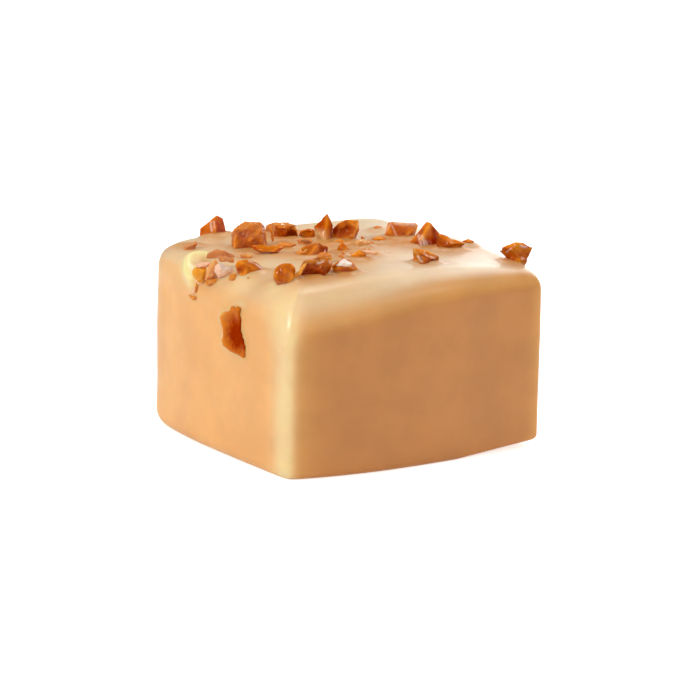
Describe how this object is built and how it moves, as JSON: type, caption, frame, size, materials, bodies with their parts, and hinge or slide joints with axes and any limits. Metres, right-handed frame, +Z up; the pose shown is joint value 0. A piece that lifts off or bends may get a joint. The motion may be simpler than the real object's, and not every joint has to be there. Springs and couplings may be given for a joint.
{
  "type": "coated caramel candy",
  "caption": "Soft-cornered caramel block under a smooth blond coating, its top strewn with broken toffee bits.",
  "frame": {"origin": "middle of the flat base the candy rests on", "axes": "+Z up, -Y out of the wide front face, -X out of the left face that holds the side flake"},
  "size_m": [0.0288, 0.0308, 0.0204],
  "materials": {
    "coating": "smooth poured blond caramel coating, satin gloss, cream on top and deeper caramel on the sides",
    "toffee": "broken amber toffee with glossy facets, bright thin edges and dark red-brown hollows"
  },
  "bodies": {
    "root": {"caramel_candy": "coating"}
  },
  "joints": []
}
